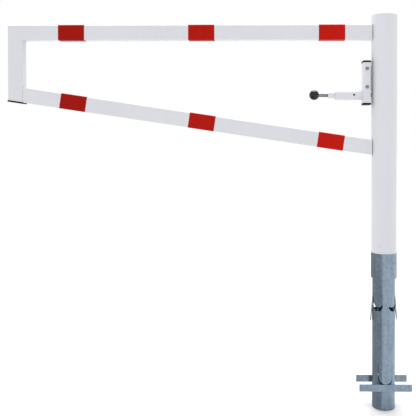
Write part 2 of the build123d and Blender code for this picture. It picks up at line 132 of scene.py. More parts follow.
class Recipe(Graph):
    """One material's nodes, with its pattern set out on the object's own coordinates in metres."""

    def __init__(self, name):
        self.material = bpy.data.materials.new(name)
        self.material.use_nodes = True
        super().__init__(self.material.node_tree)
        self.tree.nodes.clear()
        self.place = self.node("ShaderNodeTexCoord").outputs["Object"]

    def stretched(self, x, y, z):
        """The place, scaled apart along each axis, for streaks and brush lines."""
        return self.node("ShaderNodeMapping", {}, {"Vector": self.place, "Scale": (x, y, z)}).outputs[0]

    def noise(self, size, detail=2.0, place=None, rough=0.5):
        """Soft noise whose blotches are about size metres across."""
        made = self.node("ShaderNodeTexNoise", {}, {
            "Vector": place or self.place,
            "Scale": 1 / size,
            "Detail": detail,
            "Roughness": rough,
        })
        return Level(self, made.outputs[0])

    def cells(self, size, output="Distance", feature="F1", place=None):
        made = self.node("ShaderNodeTexVoronoi", {"feature": feature}, {
            "Vector": place or self.place,
            "Scale": 1 / size,
        })
        return made.outputs[output]

    def ramp(self, level, low, high):
        """The level, spread from low..high to 0..1."""
        made = self.node("ShaderNodeMapRange", {"clamp": True}, {
            "Value": level,
            "From Min": low,
            "From Max": high,
        })
        return Level(self, made.outputs[0])

    def blend(self, mask, first, second):
        """The first colour where mask is 0, the second where it is 1."""
        made = self.node("ShaderNodeMix", {"data_type": "RGBA"}, {0: mask, 6: first, 7: second})
        return made.outputs[2]

    def bump(self, height, depth, strength):
        values = {"Height": height, "Distance": depth, "Strength": strength}
        return self.node("ShaderNodeBump", {}, values).outputs[0]

    def axis(self, name):
        split = self.node("ShaderNodeSeparateXYZ", {}, {0: self.place})
        return Level(self, split.outputs[name])

    def finish(self, **values):
        """Ends the recipe in one surface shader. Underscores in names stand for spaces."""
        named = {key.replace("_", " "): value for key, value in values.items()}
        shader = self.node("ShaderNodeBsdfPrincipled", {}, named)
        self.node("ShaderNodeOutputMaterial", {}, {"Surface": shader.outputs[0]})
        return self.material


# ---------------------------------------------------------------- finishes

PAINT_WHITE = (0.590, 0.597, 0.622)
PAINT_SHADE = (0.572, 0.580, 0.607)
PAINT_DUST = (0.520, 0.505, 0.480)


def white_powder_coat(name, dust_low=None, dust_high=None):
    """White powder coat: a fine orange peel, faint blotches, and dust that thins out upwards."""
    r = Recipe(name)
    blotch = r.ramp(r.noise(0.25, 3.0), 0.35, 0.65)
    colour = r.blend(blotch, PAINT_SHADE, PAINT_WHITE)
    streak = r.ramp(r.noise(0.02, 3.0, r.stretched(1.0, 1.0, 0.06)), 0.52, 0.78)
    colour = r.blend(streak * 0.10, colour, PAINT_DUST)
    specks = r.ramp(Level(r, r.cells(0.017)), 0.045, 0.02)
    colour = r.blend(specks * r.ramp(r.noise(0.05), 0.55, 0.6) * 0.35, colour, PAINT_DUST)
    if dust_low is not None:
        near_ground = 1 - r.ramp(r.axis("Z"), dust_low, dust_high)
        splash = r.ramp(r.noise(0.012, 4.0), 0.42, 0.72)
        colour = r.blend(near_ground * splash * 0.35, colour, PAINT_DUST)
    peel = r.noise(0.0024, 1.0)
    grain = r.noise(0.0006, 1.0)
    rough = 0.27 + r.noise(0.09, 3.0) * 0.12 + streak * 0.08
    normal = r.bump(peel + grain * 0.25, 0.00022, 0.55)
    return r.finish(Base_Color=colour, Roughness=rough, Normal=normal, Specular_IOR_Level=0.22)


ZINC_DARK = (0.140, 0.186, 0.235)
ZINC_MID = (0.198, 0.258, 0.318)
ZINC_BRIGHT = (0.258, 0.330, 0.398)
ZINC_BLOOM = (0.330, 0.380, 0.424)


def galvanised(name):
    """Hot-dip zinc: crystal spangle, streaks that ran down in the bath, and a pale bloom."""
    r = Recipe(name)
    wander = r.node("ShaderNodeVectorMath", {"operation": "MULTIPLY_ADD"}, {
        0: r.node("ShaderNodeTexNoise", {}, {"Vector": r.place, "Scale": 60.0}).outputs["Color"],
        1: (0.006, 0.006, 0.006),
        2: r.place,
    }).outputs[0]
    crystal = r.node("ShaderNodeSeparateColor", {}, {0: r.cells(0.009, "Color", place=wander)})
    facet = Level(r, crystal.outputs[0])
    tilt = Level(r, crystal.outputs[1])
    streak = r.noise(0.006, 3.0, r.stretched(1.0, 1.0, 0.04), 0.6)
    tone = (facet * 0.30 + streak * 1.1 + r.noise(0.1, 2.0) * 0.3 - 0.35).clamp()
    colour = r.blend(r.ramp(tone, 0.2, 0.85), ZINC_DARK, ZINC_BRIGHT)
    colour = r.blend(0.30, colour, ZINC_MID)
    bloom = r.ramp(r.noise(0.03, 5.0, r.stretched(1.0, 1.0, 0.4), 0.65), 0.56, 0.72)
    colour = r.blend(bloom * 0.45, colour, ZINC_BLOOM)
    rough = 0.17 + tilt * 0.08 + bloom * 0.14
    height = streak * 0.6 + facet * 0.12 + r.noise(0.0016, 2.0) * 0.10
    normal = r.bump(height, 0.00010, 0.4)
    return r.finish(Base_Color=colour, Metallic=0.82, Roughness=rough, Normal=normal)


# Painted light on the bands: a shaded red far from the post and a lit red near it, blended between the two X
# places below.
FILM_RED_SHADED = (0.268, 0.0040, 0.0010)
FILM_RED_LIT = (0.430, 0.0060, 0.0020)
FILM_CELL = (0.440, 0.0200, 0.0120)
FILM_SCUFF = (0.450, 0.0800, 0.0600)
LIT_FROM_X, LIT_TO_X = -1.30, -0.16


def reflective_film(name):
    """Red reflective film: a fine honeycomb, small scuffs, and painted light that takes the red from a
    shaded red far from the post to a lit red near it.
    """
    r = Recipe(name)
    cell_edge = r.ramp(Level(r, r.cells(0.0036, feature="DISTANCE_TO_EDGE")), 0.10, 0.03)
    # Painted light: the red is darker far from the post and paler towards it.
    painted_light = r.ramp(r.axis("X"), LIT_FROM_X, LIT_TO_X)
    cloud = (r.noise(0.03, 2.0) - 0.5) * 0.25
    colour = r.blend((painted_light + cloud).clamp(), FILM_RED_SHADED, FILM_RED_LIT)
    colour = r.blend(cell_edge * 0.18, colour, FILM_CELL)
    scuff = r.ramp(r.noise(0.006, 5.0, r.stretched(0.3, 1.0, 1.0), 0.7), 0.66, 0.74)
    colour = r.blend(scuff * 0.5, colour, FILM_SCUFF)
    rough = 0.34 + scuff * 0.2 + cell_edge * 0.06
    normal = r.bump(cell_edge + r.noise(0.02, 2.0) * 0.6, 0.00012, 0.5)
    return r.finish(Base_Color=colour, Roughness=rough, Normal=normal, Specular_IOR_Level=0.06)


def black_moulding(name):
    """Black polyethylene with a spark-eroded grain, paler where it has been rubbed."""
    r = Recipe(name)
    grain = r.noise(0.0007, 2.0)
    rubbed = r.ramp(r.noise(0.012, 4.0, rough=0.65), 0.58, 0.72)
    colour = r.blend(rubbed * 0.5, (0.0065, 0.0065, 0.008), (0.026, 0.026, 0.028))
    rough = 0.46 + grain * 0.12 - rubbed * 0.08
    return r.finish(Base_Color=colour, Roughness=rough, Normal=r.bump(grain, 0.0002, 0.5),
                    Specular_IOR_Level=0.15)


def polished_knob(name):
    """Polished black phenolic, with hair scratches and finger marks."""
    r = Recipe(name)
    marks = r.ramp(r.noise(0.007, 4.0), 0.5, 0.7)
    scratch = r.ramp(r.noise(0.0012, 1.0, r.stretched(0.08, 1.0, 1.0)), 0.70, 0.76)
    colour = r.blend(scratch * 0.5, (0.006, 0.006, 0.008), (0.030, 0.030, 0.034))
    rough = 0.10 + marks * 0.12 + scratch * 0.1
    return r.finish(Base_Color=colour, Roughness=rough, Specular_IOR_Level=0.36,
                    Normal=r.bump(scratch, 0.00003, 0.4))


STEEL_BRIGHT = (0.320, 0.365, 0.385)
STEEL_DULL = (0.150, 0.172, 0.182)


def turned_steel(name, along):
    """Zinc-plated steel with turning marks in rings round the given axis."""
    r = Recipe(name)
    fine = {"X": (1.0, 0.02, 0.02), "Y": (0.02, 1.0, 0.02), "Z": (0.02, 0.02, 1.0)}[along]
    rings = r.noise(0.0008, 2.0, r.stretched(*fine), 0.6)
    cloud = r.ramp(r.noise(0.015, 3.0), 0.35, 0.7)
    colour = r.blend(cloud, STEEL_DULL, STEEL_BRIGHT)
    colour = r.blend(rings * 0.3, colour, STEEL_DULL)
    rough = 0.22 + cloud * 0.10 + rings * 0.10
    return r.finish(Base_Color=colour, Metallic=1.0, Roughness=rough,
                    Normal=r.bump(rings, 0.00004, 0.5))


def pale_nylon(name):
    """Off-white nylon, slightly yellowed, with wear lines round its axis."""
    r = Recipe(name)
    cloud = r.ramp(r.noise(0.02, 3.0), 0.35, 0.7)
    colour = r.blend(cloud, (0.600, 0.595, 0.570), (0.690, 0.690, 0.680))
    wear = r.noise(0.0009, 1.0, r.stretched(0.02, 0.02, 1.0))
    colour = r.blend(wear * 0.2, colour, (0.450, 0.450, 0.440))
    rough = 0.38 + wear * 0.12
    return r.finish(Base_Color=colour, Roughness=rough, Normal=r.bump(wear, 0.0001, 0.4))


def white_moulding(name):
    """White moulded plastic with a fine satin grain."""
    r = Recipe(name)
    grain = r.noise(0.0009, 2.0)
    cloud = r.ramp(r.noise(0.03, 3.0), 0.35, 0.7)
    colour = r.blend(cloud, (0.640, 0.650, 0.670), (0.690, 0.695, 0.710))
    return r.finish(Base_Color=colour, Roughness=0.36 + grain * 0.12,
                    Normal=r.bump(grain, 0.0001, 0.4))


FINISHES = {
    "white_paint": white_powder_coat("white_powder_coat"),
    "post_paint": white_powder_coat("white_powder_coat_post", 0.10, 0.32),
    "zinc": galvanised("galvanised"),
    "red_film": reflective_film("reflective_film"),
    "black_plastic": black_moulding("black_moulding"),
    "knob_plastic": polished_knob("polished_knob"),
    "bright_steel": turned_steel("turned_steel_rod", "X"),
    "screw_steel": turned_steel("turned_steel_screws", "Y"),
    "bolt_steel": turned_steel("turned_steel_bolt", "Z"),
    "pale_plastic": pale_nylon("pale_nylon"),
    "cap_white": white_moulding("white_moulding"),
    "spring_steel": turned_steel("spring_wire", "X"),
}
SPECIAL_FINISH = {
    "post_tube": "post_paint",
    "box_screws": "screw_steel",
    "box_nuts": "screw_steel",
    "box_washers": "screw_steel",
    "retaining_washer": "bolt_steel",
    "retaining_bolt": "bolt_steel",
}
SLOT_OF = {row["node"]: row["material_slot"] for row in frame["record"]["subparts"]}


def dress(piece, finish):
    """Gives a piece one finish all over."""
    piece.data.materials.clear()
    piece.data.materials.append(FINISHES[finish])


for node_name, node_object in nodes.items():
    dress(node_object, SPECIAL_FINISH.get(node_name, SLOT_OF[node_name]))


# ---------------------------------------------------------------- sizes read from the frame

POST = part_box("post_tube")
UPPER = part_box("upper_tube")
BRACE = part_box("brace")
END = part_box("end_tube")
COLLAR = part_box("collar")
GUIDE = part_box("guide_tube")
LATCH_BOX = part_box("latch_box")
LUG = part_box("latch_lug")
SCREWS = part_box("box_screws")

POST_R = POST[1].x
ARM_HIGH = UPPER[1].z - UPPER[0].z
ARM_DEEP = UPPER[1].y - UPPER[0].y
ARM_ROOT_X = UPPER[1].x
LATCH_Z = (GUIDE[0].z + GUIDE[1].z) / 2
BRACE_LONG = BRACE[1].x - BRACE[0].x
BRACE_TALL = BRACE[1].z - BRACE[0].z


def find_brace_angle():
    """The brace's slope, from its box: its fall plus its own height make the box's height."""
    angle = 0.0
    for _ in range(20):
        angle = math.atan((BRACE_TALL - ARM_HIGH / math.cos(angle)) / BRACE_LONG)
    return angle


BRACE_ANGLE = find_brace_angle()
BRACE_RISE = ARM_HIGH / math.cos(BRACE_ANGLE)


# ---------------------------------------------------------------- mesh helpers

def add_object(name, data):
    """An object in the scene, from a mesh, a light or a camera."""
    piece = bpy.data.objects.new(name, data)
    bpy.context.scene.collection.objects.link(piece)
    return piece


def close_mesh(name, corners, faces, smooth_under=40):
    """A mesh with doubles merged and normals outward, smooth except across sharp edges."""
    mesh = bpy.data.meshes.new(name)
    work = bmesh.new()
    made = [work.verts.new(corner) for corner in corners]
    for face in faces:
        work.faces.new([made[index] for index in face])
    bmesh.ops.remove_doubles(work, verts=work.verts, dist=0.01 * MM)
    bmesh.ops.recalc_face_normals(work, faces=work.faces)
    for face in work.faces:
        face.smooth = True
    for edge in work.edges:
        edge.smooth = len(edge.link_faces) < 2 or edge.calc_face_angle() < math.radians(smooth_under)
    work.to_mesh(mesh)
    work.free()
    return mesh


def join_rings(rings, closed=False):
    """Corners and faces of a skin over rings of equal length; closed joins the last to the first."""
    count = len(rings[0])
    corners = [corner for ring in rings for corner in ring]
    faces = []
    last = len(rings) if closed else len(rings) - 1
    for row in range(last):
        below, above = row * count, (row + 1) % len(rings) * count
        for step in range(count):
            after = (step + 1) % count
            faces.append((below + step, below + after, above + after, above + step))
    if not closed:
        faces.append(tuple(range(count))[::-1])
        faces.append(tuple(range(len(corners) - count, len(corners))))
    return corners, faces


def turned(profile, place, segments=64):
    """Rings of a turned shape: (radius, distance along the axis) pairs, set by a place function."""
    rings = []
    for radius, along in profile:
        angles = [2 * math.pi * step / segments for step in range(segments)]
        rings.append([place(radius * math.cos(a), radius * math.sin(a), along) for a in angles])
    return rings


def arc(radius, start, end, steps, middle=(0.0, 0.0)):
    """Points (a, b) on an arc between two angles in degrees."""
    angles = [math.radians(start + (end - start) * step / steps) for step in range(steps + 1)]
    return [(middle[0] + radius * math.cos(a), middle[1] + radius * math.sin(a)) for a in angles]


def rounded_outline(width, height, corner_r, steps=6):
    """Points round a rectangle with rounded corners, centred on the origin."""
    x, y = width / 2 - corner_r, height / 2 - corner_r
    quarters = (((x, y), 0), ((-x, y), 90), ((-x, -y), 180), ((x, -y), 270))
    return [point for middle, start in quarters for point in arc(corner_r, start, start + 90, steps, middle)]


def fit_piece(piece, body, finish, slot, *replaced):
    """Dresses a finished piece, hangs it on its body and stands it in for its CAD nodes."""
    dress(piece, finish)
    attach(piece, body)
    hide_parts(*replaced)


# ---------------------------------------------------------------- geometry node patterns

class Pattern(Graph):
    """A Geometry Nodes tree with named inputs, which grows a piece out of a seed mesh."""

    def __init__(self, name, sizes, other=None):
        super().__init__(bpy.data.node_groups.new(name, "GeometryNodeTree"))
        self.names = {}
        self.add_input("Seed", "NodeSocketGeometry")
        for label in sizes:
            self.add_input(label, "NodeSocketFloat")
        for label, kind in (other or {}).items():
            self.add_input(label, kind)
        self.add_input("Finish", "NodeSocketMaterial")
        self.tree.interface.new_socket("Grown", in_out="OUTPUT", socket_type="NodeSocketGeometry")
        self.inputs = self.node("NodeGroupInput").outputs

    def add_input(self, label, kind):
        socket = self.tree.interface.new_socket(label, in_out="INPUT", socket_type=kind)
        self.names[label] = socket.identifier

    def size(self, label):
        return Level(self, self.inputs[label])

    def end(self, geometry):
        smooth = self.node("GeometryNodeSetShadeSmooth", {}, {0: geometry})
        whole = self.node("GeometryNodeRealizeInstances", {}, {0: smooth.outputs[0]})
        dressed = self.node("GeometryNodeSetMaterial", {}, {
            "Geometry": whole.outputs[0],
            "Material": self.inputs["Finish"],
        })
        self.node("NodeGroupOutput", {}, {0: dressed.outputs[0]})

    def grow(self, name, seed_mesh, values):
        """Runs the tree on the seed and keeps the result as a plain mesh."""
        seed = add_object(name + "_seed", seed_mesh)
        modifier = seed.modifiers.new("pattern", "NODES")
        modifier.node_group = self.tree
        for label, value in values.items():
            modifier[self.names[label]] = value
        bpy.context.view_layer.update()
        depsgraph = bpy.context.evaluated_depsgraph_get()
        mesh = bpy.data.meshes.new_from_object(seed.evaluated_get(depsgraph))
        mesh.name = name
        bpy.data.objects.remove(seed)
        return add_object(name, mesh)


def path_mesh(name, paths):
    """A seed of edges only: (points, closed) pairs."""
    corners, edges = [], []
    for points, closed in paths:
        first = len(corners)
        corners += points
        edges += [(first + step, first + step + 1) for step in range(len(points) - 1)]
        if closed:
            edges.append((len(corners) - 1, first))
    mesh = bpy.data.meshes.new(name)
    mesh.from_pydata(corners, edges, [])
    return mesh


def weld_pattern():
    """A weld bead along each path: a round section whose radius steps like overlapping scales."""
    p = Pattern("weld_bead", ("Bead radius", "Ripple pitch", "Ripple depth"))
    path = p.node("GeometryNodeMeshToCurve", {}, {"Mesh": p.inputs["Seed"]}).outputs[0]
    step = p.size("Ripple pitch") * 0.2
    even = p.node("GeometryNodeResampleCurve", {"mode": "LENGTH"}, {"Curve": path, "Length": step})
    along = Level(p, p.node("GeometryNodeSplineParameter").outputs["Length"])
    scale = along.share_of(p.size("Ripple pitch"))
    wander = p.node("ShaderNodeTexNoise", {"noise_dimensions": "3D"}, {"Scale": 220.0, "Detail": 2.0})
    uneven = (Level(p, wander.outputs[0]) - 0.5) * 0.35
    radius = 1.0 - scale * scale * p.size("Ripple depth") + uneven
    sized = p.node("GeometryNodeSetCurveRadius", {}, {"Curve": even.outputs[0], "Radius": radius})
    section = p.node("GeometryNodeCurvePrimitiveCircle", {}, {
        "Resolution": 12,
        "Radius": p.inputs["Bead radius"],
    })
    bead = p.node("GeometryNodeCurveToMesh", {}, {
        "Curve": sized.outputs[0],
        "Profile Curve": section.outputs[0],
        "Fill Caps": True,
    })
    p.end(bead.outputs[0])
    return p


def coil_pattern():
    """A coil of round wire that stands on its seed's origin, along Z."""
    p = Pattern("wire_coil", ("Wire radius", "Coil radius", "Coil length", "Turns"))
    spiral = p.node("GeometryNodeCurveSpiral", {}, {
        "Resolution": 40,
        "Rotations": p.inputs["Turns"],
        "Start Radius": p.inputs["Coil radius"],
        "End Radius": p.inputs["Coil radius"],
        "Height": p.inputs["Coil length"],
    })
    section = p.node("GeometryNodeCurvePrimitiveCircle", {}, {
        "Resolution": 12,
        "Radius": p.inputs["Wire radius"],
    })
    wire = p.node("GeometryNodeCurveToMesh", {}, {
        "Curve": spiral.outputs[0],
        "Profile Curve": section.outputs[0],
        "Fill Caps": True,
    })
    p.end(wire.outputs[0])
    return p


def fastener_pattern():
    """One copy of a fastener on every point of the seed."""
    p = Pattern("fastener_row", (), {"Fastener": "NodeSocketObject"})
    part = p.node("GeometryNodeObjectInfo", {}, {"Object": p.inputs["Fastener"], "As Instance": True})
    copies = p.node("GeometryNodeInstanceOnPoints", {}, {
        "Points": p.inputs["Seed"],
        "Instance": part.outputs["Geometry"],
    })
    p.end(copies.outputs[0])
    return p


# ---------------------------------------------------------------- welds

RIPPLES = {"Ripple pitch": 2.4 * MM, "Ripple depth": 0.22}
ROOT_WELD_Y = 12 * MM
SLEEVE_WELD_R = 13.3 * MM
COLLAR_WELD_R = 46.3 * MM
BAR_WELD_X = 13 * MM


def line(start, end):
    return [Vector(start), Vector(end)], False


def ring(middle, radius, axis):
    """A closed circle round the X or Z axis through the middle."""
    steps = 48
    points = []
    for a, b in arc(radius, 0, 360 - 360 / steps, steps - 1):
        points.append(Vector(middle) + (Vector((0, a, b)) if axis == "X" else Vector((a, b, 0))))
    return points, True


def root_paths(low_z, high_z):
    """Paths where an arm tube meets the post: upright in the crevices, and across its edges."""
    x = ARM_ROOT_X + 0.8 * MM
    edge = 3 * MM
    upright = [line((x, y, low_z + edge), (x, y, high_z - edge)) for y in (-ROOT_WELD_Y, ROOT_WELD_Y)]
    across = [line((x, -ROOT_WELD_Y, z), (x, ROOT_WELD_Y, z)) for z in (low_z, high_z)]
    return upright + across


def arm_root_paths():
    return root_paths(UPPER[0].z, UPPER[1].z) + root_paths(BRACE[0].z, BRACE[0].z + BRACE_RISE)


def arm_corner_paths():
    """Across the end tube, where the upper tube and the brace meet it."""
    side_y = ARM_DEEP / 2 - 4 * MM
    return [line((END[1].x, -side_y, z), (END[1].x, side_y, z)) for z in (UPPER[0].z, BRACE[1].z)]


def lug_paths():
    """Upright, along both faces of the lug where it meets the post."""
    x = -POST_R - 0.4 * MM
    low_z, high_z = LUG[0].z + 3 * MM, LUG[1].z - 3 * MM
    sides = (LUG[0].y - 0.8 * MM, LUG[1].y + 0.8 * MM)
    return [line((x, y, low_z), (x, y, high_z)) for y in sides]


def anchor_bar_paths():
    """Upright, two to each anchor bar, on the bar's side towards the ground tube."""
    paths = []
    for name, side in (("front_anchor_bar", -1), ("rear_anchor_bar", 1)):
        low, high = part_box(name)
        wall_y = side * min(abs(low.y), abs(high.y))
        inner_y = wall_y - side * 0.8 * MM
        paths += [line((x, inner_y, low.z), (x, inner_y, high.z)) for x in (-BAR_WELD_X, BAR_WELD_X)]
    return paths


def add_welds():
    pattern = weld_pattern()
    guide_end = ring((GUIDE[1].x - 0.6 * MM, 0, LATCH_Z), GUIDE[1].y + 0.4 * MM, "X")
    sleeve_end = ring((GUIDE[0].x - 0.4 * MM, 0, LATCH_Z), SLEEVE_WELD_R, "X")
    collar_foot = ring((0, 0, COLLAR[0].z - 0.4 * MM), COLLAR_WELD_R, "Z")
    jobs = (
        ("arm_root_welds", arm_root_paths(), 2.0 * MM, "arm_welds"),
        ("arm_corner_welds", arm_corner_paths(), 2.4 * MM, "arm_welds"),
        ("guide_weld", [guide_end], 2.0 * MM, "latch_welds"),
        ("sleeve_weld", [sleeve_end], 1.3 * MM, "latch_welds"),
        ("lug_welds", lug_paths(), 2.2 * MM, "latch_welds"),
        ("collar_weld", [collar_foot], 2.2 * MM, "ground_welds"),
        ("anchor_bar_welds", anchor_bar_paths(), 2.4 * MM, "ground_welds"),
    )
    for name, paths, bead_r, node_name in jobs:
        in_ground = node_name == "ground_welds"
        body, finish = ("ground_post", "zinc") if in_ground else ("gate", "white_paint")
        values = {**RIPPLES, "Bead radius": bead_r, "Finish": FINISHES[finish]}
        piece = pattern.grow(name, path_mesh(name + "_paths", paths), values)
        fit_piece(piece, body, finish, finish, node_name)


# ---------------------------------------------------------------- red bands

FILM_THICK = 0.7 * MM
FILM_EDGE = 0.35 * MM
FILM_SEAT = 0.02 * MM
FILM_LAP = 16 * MM
FILM_LAP_THICK = 0.25 * MM
TUBE_CORNER_R = 4 * MM


def band_rings(length):
    """Rings of a sleeve of film along X, with softened ends, closed inside against the tube."""
    half = length / 2
    rows = [(-half, FILM_SEAT), (-half, FILM_THICK - FILM_EDGE), (-half + FILM_EDGE, FILM_THICK),
            (half - FILM_EDGE, FILM_THICK), (half, FILM_THICK - FILM_EDGE), (half, FILM_SEAT)]
    rings = []
    for x, proud in rows:
        outline = rounded_outline(ARM_DEEP + 2 * proud, ARM_HIGH + 2 * proud, TUBE_CORNER_R + proud, 8)
        rings.append([Vector((x, y, z)) for y, z in outline])
    return rings


def lap_rings(length):
    """Rings of the strip on the rear face where the film overlaps itself."""
    rear_y = ARM_DEEP / 2 + FILM_THICK
    outline = rounded_outline(length - 0.4 * MM, FILM_LAP, 0.8 * MM, 3)
    rows = ((-0.1 * MM, 1.0), (0.15 * MM, 1.0), (FILM_LAP_THICK, 0.997))
    return [[Vector((x * share, rear_y + y, z * share)) for x, z in outline] for y, share in rows]


def band_length(low, high, angle):
    """A band's length along its tube, from its box, which the band's own height makes longer."""
    corner_reach = 2 * (ARM_HIGH / 2 + FILM_THICK) * math.sin(angle)
    return ((high.x - low.x) - corner_reach) / math.cos(angle)


def add_bands():
    """Six sleeves of red film, square to their tubes, each with a lap joint at the rear."""
    for row, angle in (("upper", 0.0), ("lower", BRACE_ANGLE)):
        for place in ("outer", "middle", "inner"):
            node_name = f"band_{row}_{place}"
            low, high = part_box(node_name)
            length = band_length(low, high, angle)
            corners, faces = join_rings(band_rings(length), closed=True)
            lap_corners, lap_faces = join_rings(lap_rings(length))
            shift = len(corners)
            tilt = Matrix.Translation((low + high) / 2) @ Matrix.Rotation(angle, 4, "Y")
            corners = [tilt @ corner for corner in corners + lap_corners]
            faces += [tuple(index + shift for index in face) for face in lap_faces]
            piece = add_object(f"film_{row}_{place}", close_mesh(node_name, corners, faces))
            fit_piece(piece, "gate", "red_film", "red_film", node_name)


# ---------------------------------------------------------------- caps

CAP_THICK = 5 * MM
CAP_EDGE_R = 0.9 * MM
CAP_BEVEL = 0.3 * MM
CAP_GROOVE = 0.35 * MM
CAP_CROWN_DROP = 0.15 * MM
BOX_CAP_CORNER_R = 6.8 * MM
BOX_CAP_LIP = 2.5 * MM
END_CAP_LIP = 1.5 * MM
END_CAP_OVERHANG = 3 * MM       # more than the tube, over both sides together
END_CAP_CORNER_R = 4 * MM
POST_CAP_EDGE_R = 1.5 * MM


def cap_rings(width, depth, corner_r, lip):
    """Rings of a moulded cap on a tube end at z = 0: a lip below it, a soft edge and a low crown."""
    rows = [(CAP_BEVEL, -lip), (0.0, CAP_BEVEL - lip)]
    rows += [(CAP_EDGE_R - a, CAP_THICK - CAP_EDGE_R + b) for a, b in arc(CAP_EDGE_R, 0, 90, 6)]
    rows += [
        (CAP_EDGE_R + 2.0 * MM, CAP_THICK),
        (CAP_EDGE_R + 2.4 * MM, CAP_THICK - CAP_GROOVE),
        (CAP_EDGE_R + 4.0 * MM, CAP_THICK - CAP_GROOVE),
        (CAP_EDGE_R + 6.0 * MM, CAP_THICK - CAP_CROWN_DROP),
    ]
    rings = []
    for inset, z in rows:
        outline = rounded_outline(width - 2 * inset, depth - 2 * inset, max(corner_r - inset, 0.6 * MM))
        rings.append([Vector((x, y, z)) for x, y in outline])
    return rings


def add_cap(name, rings, place):
    """A black cap that stands in for the CAD node of the same name."""
    corners, faces = join_rings([[place @ corner for corner in ring_corners] for ring_corners in rings])
    piece = add_object(name + "_moulded", close_mesh(name + "_moulded", corners, faces, 35))
    fit_piece(piece, "gate", "black_plastic", "black_plastic", name)


def add_box_caps():
    """The caps on both ends of the latch box; the lower one is upside down."""
    ends = (("box_cap_top", LATCH_BOX[1].z, 0.0), ("box_cap_bottom", LATCH_BOX[0].z, math.pi))
    for name, seat_z, turn in ends:
        low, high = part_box(name)
        rings = cap_rings(high.x - low.x, high.y - low.y, BOX_CAP_CORNER_R, BOX_CAP_LIP)
        place = Matrix.Translation(((low.x + high.x) / 2, 0, seat_z)) @ Matrix.Rotation(turn, 4, "X")
        add_cap(name, rings, place)


def add_end_cap():
    """The cap under the end tube, which is cut off along the brace's slope."""
    rings = cap_rings(ARM_HIGH / math.cos(BRACE_ANGLE) + END_CAP_OVERHANG, ARM_DEEP + END_CAP_OVERHANG,
                      END_CAP_CORNER_R, END_CAP_LIP)
    foot_x = (END[0].x + END[1].x) / 2
    foot_z = END[0].z + math.tan(BRACE_ANGLE) * ARM_HIGH / 2
    place = Matrix.Translation((foot_x, 0, foot_z)) @ Matrix.Rotation(BRACE_ANGLE, 4, "Y")
    add_cap("arm_end_cap", rings, place @ Matrix.Rotation(math.pi, 4, "X"))


def upright_place(x, y, along):
    return Vector((x, y, along))


def add_post_cap():
    """A turned cap: a rounded rim, a dished top, and a small recess at the moulding point."""
    low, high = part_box("post_cap")
    rim_r, top, edge_r = high.x, high.z, POST_CAP_EDGE_R
    profile = [(rim_r - 3 * MM, low.z), (rim_r, low.z), (rim_r, top - edge_r)]
    profile += [(rim_r - edge_r + a, top - edge_r + b) for a, b in arc(edge_r, 0, 90, 6)]
    profile += [
        (rim_r - 6 * MM, top),
        (rim_r - 6.5 * MM, top - 0.3 * MM),
        (6 * MM, top - 0.3 * MM),
        (5.5 * MM, top - 0.6 * MM),
        (2 * MM, top - 0.6 * MM),
        (1.8 * MM, top - 0.2 * MM),
    ]
    corners, faces = join_rings(turned(profile, upright_place, 96))
    piece = add_object("post_cap_moulded", close_mesh("post_cap_moulded", corners, faces, 30))
    fit_piece(piece, "gate", "cap_white", "cap_white", "post_cap")


# ---------------------------------------------------------------- knob

KNOB_STEPS = 72
MOULD_LINE_DEPTH = 0.12 * MM
MOULD_LINE_FROM, MOULD_LINE_TO = 89.0, 91.5     # degrees round from the ball's face
KNOB_FACE_R = 10.2 * MM
KNOB_STEP_R = 9.8 * MM
KNOB_STEP_DEPTH = 0.5 * MM
KNOB_BORE_R = 8.1 * MM
KNOB_BORE_DEPTH = 8 * MM


def add_knob():
    """A turned ball with a fine mould line round it and a flat, stepped face to the rod."""
    low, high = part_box("ball_knob")
    radius = (high.z - low.z) / 2
    middle_x = low.x + radius
    face_x = high.x - middle_x
    face_angle = math.degrees(math.acos(face_x / radius))
    profile = []
    for step in range(1, KNOB_STEPS + 1):
        angle = 180 - (180 - face_angle) * step / KNOB_STEPS
        line_depth = MOULD_LINE_DEPTH if MOULD_LINE_FROM < angle < MOULD_LINE_TO else 0.0
        ball_r = radius - line_depth
        profile.append((ball_r * math.sin(math.radians(angle)), ball_r * math.cos(math.radians(angle))))
    profile += [
        (KNOB_FACE_R, face_x),
        (KNOB_STEP_R, face_x - KNOB_STEP_DEPTH),
        (KNOB_BORE_R, face_x - KNOB_STEP_DEPTH),
        (KNOB_BORE_R, face_x - KNOB_BORE_DEPTH),
    ]

    def place(x, y, along):
        return Vector((middle_x + along, x, LATCH_Z + y))

    corners, faces = join_rings(turned(profile, place, KNOB_STEPS))
    piece = add_object("knob_ball", close_mesh("knob_ball", corners, faces, 35))
    fit_piece(piece, "latch_bolt", "knob_plastic", "knob_plastic", "ball_knob")


# ---------------------------------------------------------------- fasteners and spring

FASTENER_STEPS = 72
FASTENER_ANGLES = [2 * math.pi * step / FASTENER_STEPS for step in range(FASTENER_STEPS)]
SHANK_R = 3.95 * MM
THREAD_PITCH = 1.25 * MM
THREAD_DEPTH = 0.5 * MM
THREAD_LONG = 10 * MM
HEAD_RIM_HIGH = 1.1 * MM
HEAD_DOME_WIDE = 3.6 * MM
SOCKET_ROWS = (         # across the flats, and how deep below the head's top
    (5.4 * MM, 0.0),
    (5.0 * MM, 0.25 * MM),
    (5.0 * MM, 2.6 * MM),
    (1.0 * MM, 3.4 * MM),
)
NUT_FLATS = 13 * MM
NUT_BORE_R = 4.0 * MM
NUT_CORNER_DROP = 0.7 * MM
NUT_ROUND_SHARE = 0.98
SPRING_WIRE_R = 1.25 * MM
SPRING_TURNS = 6.0


def hexagon_r(flats, angle):
    """Distance from the centre to a hexagon's side, at an angle in radians."""
    sixth = math.pi / 3
    return flats / 2 / math.cos((angle % sixth) - sixth / 2)


def round_y(radius, angle, y):
    """A point at a radius and an angle round the Y axis."""
    return Vector((radius * math.cos(angle), y, radius * math.sin(angle)))


